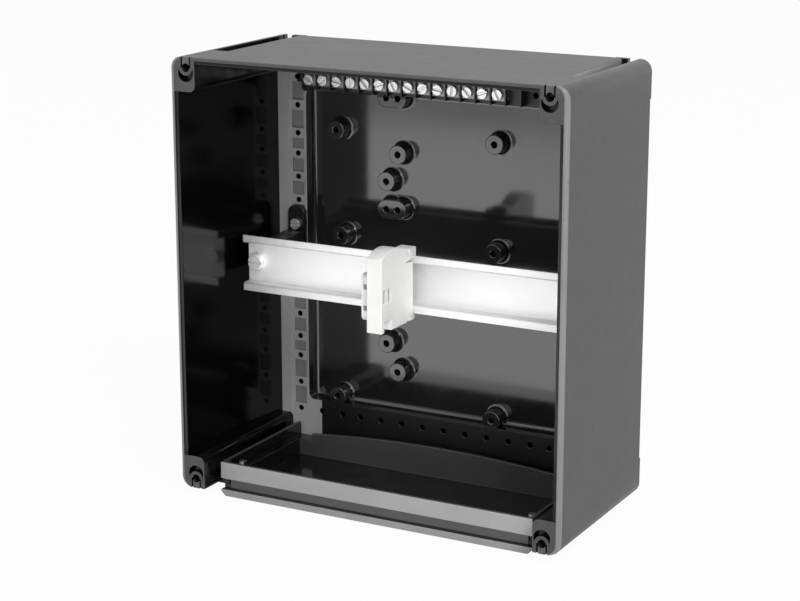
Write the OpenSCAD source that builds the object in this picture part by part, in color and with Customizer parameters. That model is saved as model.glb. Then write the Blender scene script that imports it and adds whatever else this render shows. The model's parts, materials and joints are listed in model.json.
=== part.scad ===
// Terminal box: a moulded enclosure, open at the front, with a mounting rail,
// a rail terminal, an earth bar and a slide-in cable flange.
// Millimetres. +Z up, the open front faces -Y, and the origin lies under the middle of the box.
// A depth is a distance behind the front rim, and outlines seen from the side are drawn as (depth, z).

/* [Enclosure] */
// Width over the side walls
body_w = 255; // [235:1:320]
// Height over the corner columns
body_h = 266; // [245:1:330]
// Depth over the corner feet
body_d = 120; // [112:1:150]
// Radius of the four long outer edges
corner_r = 7; // [3:0.5:10]
// Width of the front rim at the sides
rim_side = 5; // [3.5:0.5:8]
// Width of the front rim at the top
rim_top = 4; // [3.5:0.5:8]
// Mould draft of the inner walls, from the rim to the ledge
draft = 4.5; // [0:0.5:6]
// Thickness of the bottom wall
base_t = 4.5; // [3:0.5:7]
// Thickness of the back wall behind the panel
back_t = 3; // [2:0.5:4]
// Height of the four corner feet at the back
foot_h = 1.5; // [0.5:0.5:4]
// Side of a square corner foot
foot_w = 23; // [20:1:40]
// Width of the sunk step along the inner edge of the rim
step_w = 2; // [1:0.2:3]
// Depth of that step
step_depth = 0.8; // [0.4:0.2:2]

/* [Corner columns] */
// Width of a corner column from the outside
column_w = 17.2; // [17:0.1:20]
// Height of a corner column
column_h = 20.5; // [18:0.5:30]
// Radius of a column's inner corner
column_r = 4; // [1:0.5:6]
// Fixing hole from the outer side face
fixing_in_x = 11.1; // [10:0.1:11.5]
// Fixing hole from the outer top or bottom face
fixing_in_z = 6.2; // [5:0.1:7.5]
// Diameter of the fixing hole
fixing_bore = 5.2; // [4:0.1:5.8]
// Wall of the moulded tube round the fixing hole
fixing_tube_t = 2; // [1.4:0.1:2.3]
// Radius of the sickle-shaped core hole beside the tube
core_r = 5.2; // [4.8:0.1:5.4]
// Offset of the core hole from the fixing hole
core_shift = 3.2; // [2.5:0.1:4]
// Depth of the core hole
core_depth = 4; // [2:0.5:30]
// Width of the two slits beside the fixing hole
slit_w = 1.1; // [0.8:0.1:1.4]
// Distance that the slits run into the fixing hole
slit_in = 0.3; // [0.2:0.1:0.5]
// Depth of the slits
slit_depth = 2; // [1:0.5:12]
// Start of the open screw channel behind the front rim
channel_start = 34; // [14:1:60]
// Width of the screw channel
channel_w = 6.2; // [6:0.1:6.6]
// Depth of the screw channel below the outer face
channel_h = 13.5; // [11:0.5:15]
// Rounding of the outer wall into the screw channel
channel_r = 5.5; // [2:0.5:6.5]
// Thickness of the wall behind the screw channel, which is notched for the screw
channel_rear_t = 2.5; // [1.5:0.5:6]

/* [Ledge and panel] */
// Height of the ledge above the back panel
ledge_proud = 9.5; // [9:0.5:16]
// Width of the side ledges from the outside
ledge_side = 29.5; // [29:0.5:36]
// Width of the top and bottom ledges from the outside
ledge_end = 31.5; // [31:0.5:40]
// Radius of the fillet round the panel
panel_fillet = 2.5; // [1:0.5:4]
// Radius of the panel's corners
panel_r = 4; // [1:0.5:8]
// Height of the raised band along the side walls
band_proud = 0.8; // [0.4:0.2:2]
// Diameter of the ledge holes
hole_d = 3.3; // [2.5:0.1:4]
// Depth of the ledge holes and boss holes
hole_depth = 8; // [7:0.5:9]
// Hole column from the outer side face
hole_in_x = 23.3; // [23:0.1:23.6]
// Hole row from the outer top or bottom face
hole_in_z = 24.2; // [24:0.1:25]
// Pitch of the ledge holes
hole_pitch = 15; // [14:0.5:16]
// Step from the last hole of the pitch to the next
hole_step = 13; // [12:0.5:15]
// Plain land round each ledge hole
hole_land = 3.4; // [2.5:0.1:4]
// Width of the recesses between the side holes
recess_w = 8; // [4:0.5:9]
// Depth of those recesses
recess_depth = 1.2; // [0.4:0.2:2]

/* [Panel bosses] */
// Diameter of a panel boss
boss_d = 12; // [8:0.5:14]
// Diameter of the hole in a panel boss
boss_hole = 3.8; // [2.5:0.1:5]
// Fillet at the foot of a panel boss
boss_fillet = 2; // [0.5:0.5:3]
// Distance between the holes of a double boss
boss_pair = 8; // [6:0.5:10]

/* [Cable flange] */
// Gap between the flange and a corner column
flange_gap = 4.7; // [2:0.1:8]
// Front of the flange behind the front rim
flange_front = 11; // [4:1:20]
// Gap between the flange and the ledge
flange_rear_gap = 2; // [1:0.5:6]
// Height of the tray above the underside of the box
flange_top = 15.5; // [13:0.5:24]
// Wall of the tray
flange_wall = 2.6; // [1.6:0.2:3.4]
// Depth of the groove round the tray
flange_groove = 4.3; // [3.4:0.1:6]
// Clearance of the bottom wall in that groove
flange_clear = 0.3; // [0.1:0.1:0.6]
// Thickness of the lip under the box
lip_t = 4.5; // [3:0.5:8]
// Chamfer at the ends of the lip
lip_chamfer = 3; // [0.5:0.5:4]
// Thickness of the tray's floor
flange_floor = 3.4; // [2:0.2:4.4]
// Thickness of the gasket
gasket_t = 2; // [1:0.5:4]
// Rise of the rear wall in its middle
crown = 4.8; // [1:0.2:8]
// Height of the rear wall at its ends above the underside of the box
crown_end = 11.6; // [9:0.2:16]
// Width of the rear wall
crown_w = 180; // [120:1:190]
// Diameter of the tray's corner posts
post_d = 5; // [3:0.5:7]
// Corner posts behind the front of the flange
post_in = 15; // [10:0.5:30]
// Clearance of the flange in its opening
opening_clear = 0.8; // [0.4:0.1:1.2]

/* [Rail] */
// Width of the hat rail
rail_w = 35; // [34:0.5:36]
// Height of the hat rail
rail_h = 7.5; // [6:0.5:15]
// Sheet thickness of the rail
rail_t = 1; // [0.8:0.1:1.2]
// Inner width of the rail's channel
rail_channel = 25; // [23:0.5:26]
// Inner bend radius of the rail
rail_bend = 0.6; // [0.3:0.1:1]
// Front of the rail behind the front rim
rail_depth = 49.5; // [42:0.5:60]
// Gap between the rail's ends and the outer side faces
rail_end_gap = 16.8; // [16:0.2:20]
// Diameter of the rail screws
rail_screw_d = 4.8; // [4:0.1:5]
// Diameter of the rail screw heads
rail_head_d = 9.6; // [8:0.2:10.4]
// Height of the rail screw heads
rail_head_h = 3; // [2:0.2:3.6]
// Length of the rail screws under the head
rail_screw_len = 18; // [12:1:24]
// Diameter of the rail washers
rail_washer_d = 12; // [11:0.5:12.4]
// Thickness of the rail washers
rail_washer_t = 1.2; // [0.8:0.1:1.6]

/* [Rail brackets] */
// Width of a rail bracket
bracket_w = 12; // [10:0.5:12]
// Wall of a rail bracket
bracket_wall = 2; // [1.4:0.2:2.4]
// Height of a bracket's post
bracket_post_h = 20; // [18:0.5:21]
// Height of the post where it flares into the foot
bracket_flare_h = 22; // [21.5:0.5:22.5]
// Distance over which the post flares
bracket_flare = 7; // [4:0.5:12]
// Length of a bracket's foot
bracket_foot_l = 54; // [46:1:60]
// Thickness of a bracket's foot
bracket_foot_t = 3.5; // [2:0.5:6]
// Thickness of the pad under the rail
bracket_pad_t = 4; // [2.5:0.5:6]
// Diameter of the bracket screw heads
bracket_head_d = 7; // [5:0.2:7.4]
// Height of the bracket screw heads
bracket_head_h = 2.4; // [1.5:0.1:3.5]

/* [Screw details] */
// Width of the screw slots
slot_w = 1; // [0.6:0.1:1.3]
// Depth of the screw slots
slot_depth = 1.1; // [0.6:0.1:1.3]
// Clearance on the diameter of a screw in its hole
screw_clear = 0.3; // [0.2:0.05:0.4]
// Clearance on the diameter of a turning screw in its thread
thread_clear = 0.1; // [0.04:0.02:0.2]

/* [Earth bar] */
// Pitch of the earth clamps
earth_pitch = 10; // [9.6:0.1:10.4]
// First earth clamp from the outer left side face
earth_start = 36; // [31:0.5:40]
// Empty cells beside the clamps
earth_spare = 1; // [1:1:2]
// Height of the carrier strip
carrier_h = 13; // [12:0.5:14]
// Thickness of the carrier's base
carrier_base = 2; // [1.2:0.2:3]
// Thickness of the carrier's cell walls
carrier_wall = 0.9; // [0.6:0.1:1]
// Height of the cell walls above the base
carrier_cell = 5.4; // [4.4:0.2:7]
// Height of the earth bar
earth_bar_h = 8; // [7:0.5:9]
// Thickness of the earth bar
earth_bar_t = 3; // [2.4:0.1:4]
// Diameter of the earth screws
earth_screw_d = 3.9; // [3:0.1:4]
// Diameter of the earth screw heads
earth_head_d = 6.6; // [6:0.1:7]
// Height of the earth screw heads
earth_head_h = 2.5; // [2:0.1:3.2]
// Side of an earth saddle
saddle_w = 8.2; // [7.4:0.1:8.4]
// Thickness of an earth saddle
saddle_t = 1.2; // [0.8:0.1:1.6]
// Gap between the earth screws' tips and the ledge
earth_tip_gap = 0.3; // [0.2:0.1:1]

/* [Terminal] */
// Left face of the terminal from the middle of the box
terminal_x = -7.2; // [-40:0.1:20]
// Thickness of the terminal with its cover
terminal_w = 5.2; // [5:0.1:6.2]
// Thickness of the cover
cover_t = 1.1; // [0.8:0.1:1.3]
// Outer wall of the housing
housing_wall = 0.8; // [0.6:0.1:1]
// Height of the terminal in front of the rail
terminal_depth = 35.5; // [34:0.5:44]
// Height of the terminal's front block
terminal_h = 28; // [26:0.5:32]
// Middle of the front block below the middle of the rail
terminal_drop = 1.5; // [0:0.5:2]
// Distance between the two clamp screws
clamp_pitch = 12.8; // [12:0.2:14]
// Depth of the screw wells in the terminal's front
well_depth = 6; // [4:0.5:7]
// Diameter of the screw wells
well_d = 3.2; // [3:0.05:3.2]
// Diameter of the clamp screw heads
clamp_head_d = 2.8; // [2.6:0.05:2.85]
// Height of the clamp screw heads
clamp_head_h = 1.6; // [1.4:0.1:1.8]
// Diameter of the clamp screws
clamp_screw_d = 1.8; // [1.4:0.05:1.9]
// Travel of a clamp cage
cage_travel = 2; // [1:0.1:2.2]
// Height of a clamp cage
cage_h = 4.8; // [4:0.1:5]
// Side walls of a clamp cage
cage_wall = 0.5; // [0.4:0.05:0.6]
// Threaded wall of a clamp cage
cage_thread = 2; // [1.4:0.1:2.4]
// Floor of a clamp cage
cage_floor = 0.8; // [0.6:0.1:1]
// Wire room in an open clamp cage
cage_room = 3; // [2.4:0.1:3.6]
// Clearance of a clamp cage in the housing
cage_clear = 0.2; // [0.1:0.05:0.3]
// Thickness of the current bar
current_bar_t = 1.2; // [0.8:0.1:1.4]
// Clearance of the hooks on the rail
hook_clear = 0.3; // [0.2:0.05:0.4]
// Thickness of the hooks behind the rail's lips
hook_t = 2.4; // [1.6:0.2:3]
// Reach of the hooks behind the rail's lips
hook_reach = 2.4; // [1.4:0.2:2.8]
// Depth of the foot in front of the rail
rail_foot = 9; // [6:0.5:10]
// Radius of the terminal's front corners
shoulder_r = 3; // [1:0.5:5]
// Length of the current bar beyond a clamp cage
bar_end = 0.6; // [0.3:0.1:1]

/* [End bracket] */
// Gap between the terminal and the end bracket
end_gap = 0.2; // [0.1:0.1:1]
// Thickness of the end bracket
end_w = 10; // [8:0.2:12]
// Front of the end bracket ahead of the terminal
end_ahead = 3.5; // [1:0.5:5]
// Radius of the end bracket's hump
hump_r = 27; // [26:0.5:28]
// Middle of the hump in front of the rail
hump_ahead = 24.5; // [22:0.5:26]
// Underside of the end bracket below the middle of the rail
end_below = 21.4; // [20.6:0.2:23]
// Depth of the end bracket's foot in front of the rail
end_foot = 4.5; // [3:0.5:6]
// Radius of the end bracket's lower rear corner
end_corner_r = 3.4; // [1:0.2:4]
// Width of the notch in the underside
end_notch_w = 8.5; // [4:0.5:10]
// Depth of the notch in the underside
end_notch_h = 6.4; // [3:0.2:10]
// Thickness of the plate in front of the notch
end_plate_t = 3.2; // [1.6:0.2:4]
// Length of the slit that lets the upper hook spring
spring_l = 10; // [6:0.5:12]
// Opening of that slit at the rail
spring_h = 3; // [1.6:0.2:3.6]
// Gap between that slit and the edge of the rail
spring_in = 2.4; // [2.2:0.1:4]
// Depth of the two windows in the right side
window_depth = 1.4; // [0.6:0.2:2.4]
// Width of a window
window_w = 3.2; // [2:0.2:4]
// Height of the windows
window_h = 8.2; // [4:0.2:10]
// Bar between the windows
window_bar = 2.2; // [1:0.2:3]
// First window behind the front
window_in = 2.4; // [1.6:0.2:4]

/* [Hidden] */
// Overrun of a cut beyond the face that it opens
cut = 1;
// Smoothness of round shapes
$fn = 48;

// Number of earth clamps
EARTH_CLAMPS = 14;

// Places of the single bosses, right of and above the middle of the panel
BOSSES = [
    [-77, 77], [-33, 65], [-41, 47.5], [33, 77], [-74, 9.5],
    [33, 9.5], [-41, -57], [-33, -75], [-77, -97], [33, -97],
];
// Places of the double bosses
DOUBLE_BOSSES = [[-37, 100], [-37, 30]];

// Planes of the enclosure
front_y = -body_d / 2;
side_x = body_w / 2;
base_z = lip_t + gasket_t;
top_z = base_z + body_h;
mid_z = base_z + body_h / 2;
back_depth = body_d - foot_h;
panel_depth = back_depth - back_t;
ledge_depth = panel_depth - ledge_proud;
panel_x = side_x - ledge_side;
panel_top = body_h / 2 - ledge_end;

// Columns, holes and the raised band
column_x = side_x - column_w;
fixing_x = side_x - fixing_in_x;
fixing_z = base_z + fixing_in_z;
hole_x = side_x - hole_in_x;
hole_z = body_h / 2 - hole_in_z;
band_x = hole_x + bracket_w / 2 + hook_clear;

// Cable flange, its groove and the opening that it slides into
flange_x = column_x - flange_gap;
flange_rear = ledge_depth - flange_rear_gap;
neck_x = flange_x - flange_groove;
neck_front = flange_front + flange_groove;
neck_rear = flange_rear - flange_groove - flange_wall;
opening_x = neck_x + opening_clear;
opening_rear = neck_rear + opening_clear;
shelf_low = base_t + flange_clear;
shelf_top = shelf_low + flange_wall;
post_x = neck_x - flange_wall;
post_depth = flange_front + post_in;
post_top = flange_top - flange_wall;
crown_r = (crown_w * crown_w / 4 + crown * crown) / (2 * crown);

// Rail and its fasteners
rail_x = side_x - rail_end_gap;
rail_back = rail_depth + rail_h;
rail_web = rail_back - rail_t;
washer_front = rail_web - rail_washer_t;
rail_hole = rail_screw_d + screw_clear;
bracket_foot = ledge_depth - bracket_foot_t;
bracket_screw_d = hole_d - screw_clear;
bracket_screw_len = bracket_foot_t + hole_depth - cut;

// Earth bar, stacked on the ledge
earth_z = mid_z + hole_z;
earth_x = -side_x + earth_start;
carrier_front = ledge_depth - carrier_base;
earth_bar_front = carrier_front - earth_bar_t;
saddle_front = earth_bar_front - saddle_t;
earth_head_front = saddle_front - earth_head_h;
earth_screw_len = ledge_depth - earth_tip_gap - saddle_front;
earth_hole = earth_screw_d + thread_clear;
earth_cells = EARTH_CLAMPS + earth_spare;
carrier_left = earth_x - earth_pitch / 2 - carrier_wall / 2;
carrier_right = carrier_left + earth_cells * earth_pitch + carrier_wall;
peg_d = hole_d - screw_clear;
peg_len = hole_depth - cut;
peg_right = hole_pitch * floor((carrier_right - peg_d) / hole_pitch);

// Terminal, from its front to the hooks behind the rail
terminal_front = rail_depth - terminal_depth;
terminal_z = mid_z - terminal_drop;
foot_front = rail_depth - rail_foot;
hook_front = rail_depth + rail_t + hook_clear;
hook_rear = hook_front + hook_t;
lip_edge = rail_w / 2 + hook_clear;
pocket_x = terminal_x + cover_t;
pocket_w = terminal_w - cover_t - housing_wall;
clamp_x = pocket_x + pocket_w / 2;
clamp_zs = [terminal_z - clamp_pitch / 2, terminal_z + clamp_pitch / 2];
clamp_head_front = terminal_front + well_depth - clamp_head_h;
pocket_front = terminal_front + well_depth;
cage_front = pocket_front + cage_clear + cage_travel;
cage_inside = cage_front + cage_thread;
bar_front = cage_inside + cage_travel + cage_clear;
bar_rear = bar_front + current_bar_t;
cage_rear = bar_rear + cage_room + cage_floor;
pocket_rear = cage_rear + cage_clear;
cage_w = pocket_w - 2 * cage_clear;
current_bar_w = cage_w - 2 * cage_wall - cage_clear;
current_bar_half = clamp_pitch / 2 + cage_h / 2 + bar_end;
end_x = terminal_x + terminal_w + end_gap;
end_front = terminal_front - end_ahead;
end_foot_front = rail_depth - end_foot;
spring_z = mid_z + rail_w / 2 - spring_in;

// Offsets of the ledge holes on one side of the middle, out to the corner hole
function hole_offsets(corner) =
    let (last = 4 * hole_pitch + hole_step)
    [for (i = [0:4]) i * hole_pitch, last, (last + corner) / 2, corner];

// Inner half width of the enclosure at a depth
function inner_x(depth) = side_x - rim_side - draft * depth / ledge_depth;

// Inner top of the enclosure at a depth
function inner_top(depth) = top_z - rim_top - draft * depth / ledge_depth;

// Two-digit number of an earth clamp
function two_digits(i) = str(i < 10 ? "0" : "", i);

// Extrudes an outline seen from the front, drawn as (x, z), between two depths
module from_front(depths) {
    translate([0, front_y + depths[1], 0])
        rotate([90, 0, 0])
            linear_extrude(depths[1] - depths[0])
                children();
}

// Extrudes an outline seen from the side, drawn as (depth, z), between two places along X
module from_side(xs) {
    translate([xs[0], front_y, 0])
        rotate([90, 0, 90])
            linear_extrude(xs[1] - xs[0])
                children();
}

// Extrudes an outline seen from above, drawn as (x, depth), between two heights
module from_above(zs) {
    translate([0, front_y, zs[0]])
        linear_extrude(zs[1] - zs[0])
            children();
}

// Block between two places along X, two depths and two heights
module block(xs, depths, zs) {
    translate([xs[0], front_y + depths[0], zs[0]])
        cube([xs[1] - xs[0], depths[1] - depths[0], zs[1] - zs[0]]);
}

// Round bar along the depth at (x, z)
module rod(x, z, depths, d) {
    translate([x, front_y + depths[0], z])
        rotate([-90, 0, 0])
            cylinder(d = d, h = depths[1] - depths[0]);
}

// Copies a shape to the other side of the box
module both_sides() {
    children();
    mirror([1, 0, 0])
        children();
}

// Copies a shape to the other end of the box, above its middle
module both_ends() {
    children();
    translate([0, 0, 2 * mid_z])
        mirror([0, 0, 1])
            children();
}

// Rectangle with round corners
module round_rect(xs, zs, r) {
    translate([xs[0] + r, zs[0]])
        square([xs[1] - xs[0] - 2 * r, zs[1] - zs[0]]);
    translate([xs[0], zs[0] + r])
        square([xs[1] - xs[0], zs[1] - zs[0] - 2 * r]);
    for (x = [xs[0] + r, xs[1] - r], z = [zs[0] + r, zs[1] - r])
        translate([x, z])
            circle(r);
}

// Corner between two edges and the arc that rounds them, with its sharp point at the origin
module spandrel(r) {
    difference() {
        square(r);
        translate([r, r])
            circle(r);
    }
}

// Slotted screw with a cylindrical head, its head towards the front
module slotted_screw(x, z, head_front, head_d, head_h, shank_d, shank_l) {
    head_rear = head_front + head_h;
    difference() {
        union() {
            rod(x, z, [head_front, head_rear], head_d);
            rod(x, z, [head_front + slot_depth, head_rear + shank_l], shank_d);
        }
        block(
            [x - head_d, x + head_d],
            [head_front - cut, head_front + slot_depth],
            [z - slot_w / 2, z + slot_w / 2]
        );
    }
}

// Outline of the enclosure from the front
module body_outline() {
    round_rect([-side_x, side_x], [base_z, top_z], corner_r);
}

// Outer form: a block with round long edges and four corner feet at the back
module body_block() {
    from_front([0, back_depth])
        body_outline();
    from_front([0, body_d])
        intersection() {
            body_outline();
            for (x = [-side_x, side_x - foot_w], z = [base_z, top_z - foot_w])
                translate([x, z])
                    square(foot_w);
        }
}

// Room inside, drafted towards the ledge
module cavity() {
    intersection() {
        from_above([base_z + base_t, top_z])
            polygon([
                [-inner_x(-cut), -cut],
                [inner_x(-cut), -cut],
                [inner_x(ledge_depth), ledge_depth],
                [-inner_x(ledge_depth), ledge_depth],
            ]);
        from_side([-side_x, side_x])
            polygon([
                [-cut, base_z],
                [ledge_depth, base_z],
                [ledge_depth, inner_top(ledge_depth)],
                [-cut, inner_top(-cut)],
            ]);
    }
}

// Sunk back panel, with a fillet all round its foot
module panel_recess() {
    low = mid_z - panel_top;
    difference() {
        from_front([ledge_depth - cut, panel_depth])
            round_rect([-panel_x, panel_x], [low, mid_z + panel_top], panel_r);
        both_sides()
            from_above([low - cut, mid_z + panel_top + cut])
                translate([-panel_x, panel_depth])
                    mirror([0, 1])
                        spandrel(panel_fillet);
        both_ends()
            from_side([-panel_x - cut, panel_x + cut])
                translate([panel_depth, low])
                    mirror([1, 0])
                        spandrel(panel_fillet);
    }
}

// Right-hand lower corner column, with a round inner corner
module corner_column() {
    top = base_z + column_h;
    from_front([0, ledge_depth + cut])
        difference() {
            translate([column_x, base_z + base_t / 2])
                square([column_w - rim_side / 2, column_h - base_t / 2]);
            translate([column_x, top])
                mirror([0, 1])
                    spandrel(column_r);
        }
}

// Holes and cores of the right-hand lower column: fixing hole, slits, sickle and screw channel
module column_cuts() {
    channel = [channel_start, back_depth - channel_rear_t];
    edge_x = fixing_x - channel_w / 2;
    slit_x = fixing_bore / 2 + slit_w / 2 - slit_in;
    rod(fixing_x, fixing_z, [-cut, channel_start + cut], fixing_bore);
    for (x = [fixing_x - slit_x, fixing_x + slit_x])
        block(
            [x - slit_w / 2, x + slit_w / 2],
            [-cut, slit_depth],
            [base_z - cut, fixing_z]
        );
    from_front([-cut, core_depth])
        difference() {
            translate([fixing_x, fixing_z + core_shift])
                circle(core_r);
            translate([fixing_x, fixing_z])
                circle(fixing_bore / 2 + fixing_tube_t);
        }
    block([edge_x, edge_x + channel_w], channel, [base_z - cut, base_z + channel_h]);
    from_front(channel)
        translate([edge_x, base_z])
            mirror([1, 0])
                spandrel(channel_r);
    from_front([channel[1] - cut, body_d + cut]) {
        translate([fixing_x - fixing_bore / 2, base_z - cut])
            square([fixing_bore, fixing_in_z + cut]);
        translate([fixing_x, fixing_z])
            circle(d = fixing_bore);
    }
}

// Sunk step along the inner edge of the side and top rims
module rim_step() {
    both_sides()
        block(
            [side_x - rim_side - cut, side_x - rim_side + step_w],
            [-cut, step_depth],
            [base_z + column_h, top_z - column_h]
        );
    block(
        [-column_x, column_x],
        [-cut, step_depth],
        [top_z - rim_top - cut, top_z - rim_top + step_w]
    );
}

// Opening in the underside for the flange, wider in front of the bottom wall
module flange_opening() {
    from_above([base_z - cut, base_z + base_t + cut]) {
        translate([-opening_x, -cut])
            square([2 * opening_x, opening_rear + cut]);
        translate([-column_x, -cut])
            square([2 * column_x, neck_front + cut]);
    }
}

// Rows of blind holes round the ledge
module ledge_holes() {
    hole = [ledge_depth - cut, ledge_depth + hole_depth];
    both_sides()
        both_ends()
            for (offset = hole_offsets(hole_z))
                rod(hole_x, mid_z - offset, hole, hole_d);
    both_sides()
        both_ends()
            for (offset = hole_offsets(hole_x))
                if (offset < hole_x)
                    rod(offset, mid_z - hole_z, hole, hole_d);
}

// Shallow recesses between the holes of the side ledges
module ledge_recesses() {
    offsets = hole_offsets(hole_z);
    both_sides()
        both_ends()
            for (i = [0:len(offsets) - 2])
                block(
                    [hole_x - recess_w / 2, hole_x + recess_w / 2],
                    [ledge_depth - cut, ledge_depth + recess_depth],
                    [mid_z - offsets[i + 1] + hole_land, mid_z - offsets[i] - hole_land]
                );
}

// Panel boss with a fillet at its foot
module boss(x, z) {
    translate([x, front_y + panel_depth, z])
        rotate([90, 0, 0]) {
            cylinder(d = boss_d, h = ledge_proud);
            rotate_extrude()
                translate([boss_d / 2, 0])
                    spandrel(boss_fillet);
        }
}

// Single and double bosses on the panel
module panel_bosses() {
    for (place = BOSSES)
        boss(place[0], mid_z + place[1]);
    for (place = DOUBLE_BOSSES) {
        for (side = [-1, 1])
            boss(place[0] + side * boss_pair / 2, mid_z + place[1]);
        block(
            [place[0] - boss_pair / 2, place[0] + boss_pair / 2],
            [ledge_depth, panel_depth],
            [mid_z + place[1] - boss_d / 2, mid_z + place[1] + boss_d / 2]
        );
    }
}

// Blind holes in the bosses
module boss_holes() {
    hole = [ledge_depth - cut, ledge_depth + hole_depth];
    for (place = BOSSES)
        rod(place[0], mid_z + place[1], hole, boss_hole);
    for (place = DOUBLE_BOSSES, side = [-1, 1])
        rod(place[0] + side * boss_pair / 2, mid_z + place[1], hole, boss_hole);
}

module enclosure() {
    color("dimgray")
        difference() {
            union() {
                difference() {
                    body_block();
                    cavity();
                    panel_recess();
                }
                both_sides()
                    both_ends()
                        corner_column();
                both_sides()
                    block(
                        [band_x, inner_x(ledge_depth) + cut],
                        [ledge_depth - band_proud, ledge_depth + cut],
                        [base_z + column_h, top_z - column_h]
                    );
                panel_bosses();
            }
            rim_step();
            flange_opening();
            ledge_holes();
            ledge_recesses();
            boss_holes();
            both_sides()
                both_ends()
                    column_cuts();
        }
}

// Upper part of the flange: a shelf over the bottom wall with an upright wall at the front and sides
module flange_shelf() {
    inside_x = flange_x - flange_wall;
    inside_front = flange_front + flange_wall;
    difference() {
        block([-flange_x, flange_x], [flange_front, flange_rear], [base_z + shelf_low, base_z + flange_top]);
        block(
            [-inside_x, inside_x],
            [inside_front, flange_rear + cut],
            [base_z + shelf_top, base_z + flange_top + cut]
        );
    }
}

// Lip under the box, chamfered at its ends
module flange_lip() {
    from_front([flange_front, flange_rear])
        polygon([
            [-flange_x, lip_t],
            [-flange_x, lip_chamfer],
            [lip_chamfer - flange_x, 0],
            [flange_x - lip_chamfer, 0],
            [flange_x, lip_chamfer],
            [flange_x, lip_t],
        ]);
}

// Rear wall of the tray, with a crowned top edge
module flange_rear_wall() {
    from_front([neck_rear - flange_wall, neck_rear])
        intersection() {
            translate([-crown_w / 2, lip_t])
                square([crown_w, base_z + crown_end + crown]);
            translate([0, base_z + crown_end + crown - crown_r])
                circle(crown_r, $fn = 720);
        }
}

module flange_tray() {
    hollow_x = neck_x - flange_wall;
    hollow = [neck_front + flange_wall, neck_rear - flange_wall];
    color("dimgray") {
        difference() {
            union() {
                flange_lip();
                block([-neck_x, neck_x], [neck_front, neck_rear], [lip_t - cut, base_z + shelf_top]);
                flange_shelf();
            }
            block([-hollow_x, hollow_x], hollow, [flange_floor, base_z + flange_top + cut]);
        }
        flange_rear_wall();
        both_sides()
            translate([post_x, front_y + post_depth, flange_floor])
                cylinder(d = post_d, h = base_z + post_top - flange_floor);
    }
}

module flange_gasket() {
    color("black")
        from_above([lip_t, base_z])
            difference() {
                translate([-flange_x, neck_front])
                    square([2 * flange_x, flange_rear - neck_front]);
                translate([-neck_x, neck_front - cut])
                    square([2 * neck_x, neck_rear - neck_front + cut]);
            }
}

// Upper half of the rail's section, with its bends rounded
module rail_half_section() {
    inside = rail_channel / 2;
    outside = inside + rail_t;
    outer_bend = rail_bend + rail_t;
    difference() {
        union() {
            translate([rail_depth, inside])
                square([rail_t, rail_w / 2 - inside]);
            translate([rail_depth, inside])
                square([rail_h, rail_t]);
            translate([rail_web, 0])
                square([rail_t, outside]);
            translate([rail_depth + rail_t, outside])
                spandrel(rail_bend);
            translate([rail_web, inside])
                rotate(180)
                    spandrel(rail_bend);
        }
        translate([rail_depth, inside])
            spandrel(outer_bend);
        translate([rail_back, outside])
            rotate(180)
                spandrel(outer_bend);
    }
}

module din_rail() {
    color("gainsboro")
        difference() {
            from_side([-rail_x, rail_x])
                translate([0, mid_z]) {
                    rail_half_section();
                    mirror([0, 1])
                        rail_half_section();
                }
            both_sides()
                rod(hole_x, mid_z, [rail_web - cut, rail_back + cut], rail_hole);
        }
}

// Upper half of the side ribs of a rail bracket
module bracket_rib_half() {
    polygon([
        [rail_back, 0],
        [rail_back, bracket_post_h / 2],
        [bracket_foot - 2 * bracket_flare, bracket_post_h / 2],
        [bracket_foot - bracket_flare, bracket_flare_h / 2],
        [ledge_depth, bracket_flare_h / 2],
        [ledge_depth, 0],
    ]);
}

// Right-hand rail bracket: a post on a long foot, cored from behind
module rail_bracket() {
    half = bracket_w / 2;
    core = half - bracket_wall;
    core_z = bracket_post_h / 2 - bracket_wall;
    foot_z = bracket_foot_l / 2;
    difference() {
        union() {
            from_side([hole_x - half, hole_x + half])
                translate([0, mid_z]) {
                    bracket_rib_half();
                    mirror([0, 1])
                        bracket_rib_half();
                }
            from_front([bracket_foot, ledge_depth])
                round_rect([hole_x - half, hole_x + half], [mid_z - foot_z, mid_z + foot_z], half - cut);
        }
        difference() {
            block(
                [hole_x - core, hole_x + core],
                [rail_back + bracket_pad_t, ledge_depth + cut],
                [mid_z - core_z, mid_z + core_z]
            );
            rod(hole_x, mid_z, [rail_back, rail_back + rail_screw_len], rail_screw_d + bracket_wall);
        }
        rod(hole_x, mid_z, [rail_back - cut, rail_back + rail_screw_len + cut], rail_hole);
        for (side = [-1, 1])
            rod(hole_x, mid_z + side * hole_pitch, [bracket_foot - cut, ledge_depth + cut], hole_d);
    }
}

module rail_bracket_left() {
    color("dimgray")
        mirror([1, 0, 0])
            rail_bracket();
}

module rail_bracket_right() {
    color("dimgray")
        rail_bracket();
}

module bracket_screws() {
    color("silver")
        both_sides()
            for (side = [-1, 1])
                slotted_screw(
                    hole_x, mid_z + side * hole_pitch, bracket_foot - bracket_head_h,
                    bracket_head_d, bracket_head_h, bracket_screw_d, bracket_screw_len
                );
}

module rail_screws() {
    color("silver")
        both_sides()
            slotted_screw(
                hole_x, mid_z, washer_front - rail_head_h,
                rail_head_d, rail_head_h, rail_screw_d, rail_screw_len
            );
}

module rail_washers() {
    color("silver")
        both_sides()
            difference() {
                rod(hole_x, mid_z, [washer_front, rail_web], rail_washer_d);
                rod(hole_x, mid_z, [washer_front - cut, rail_web + cut], rail_hole);
            }
}

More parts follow.
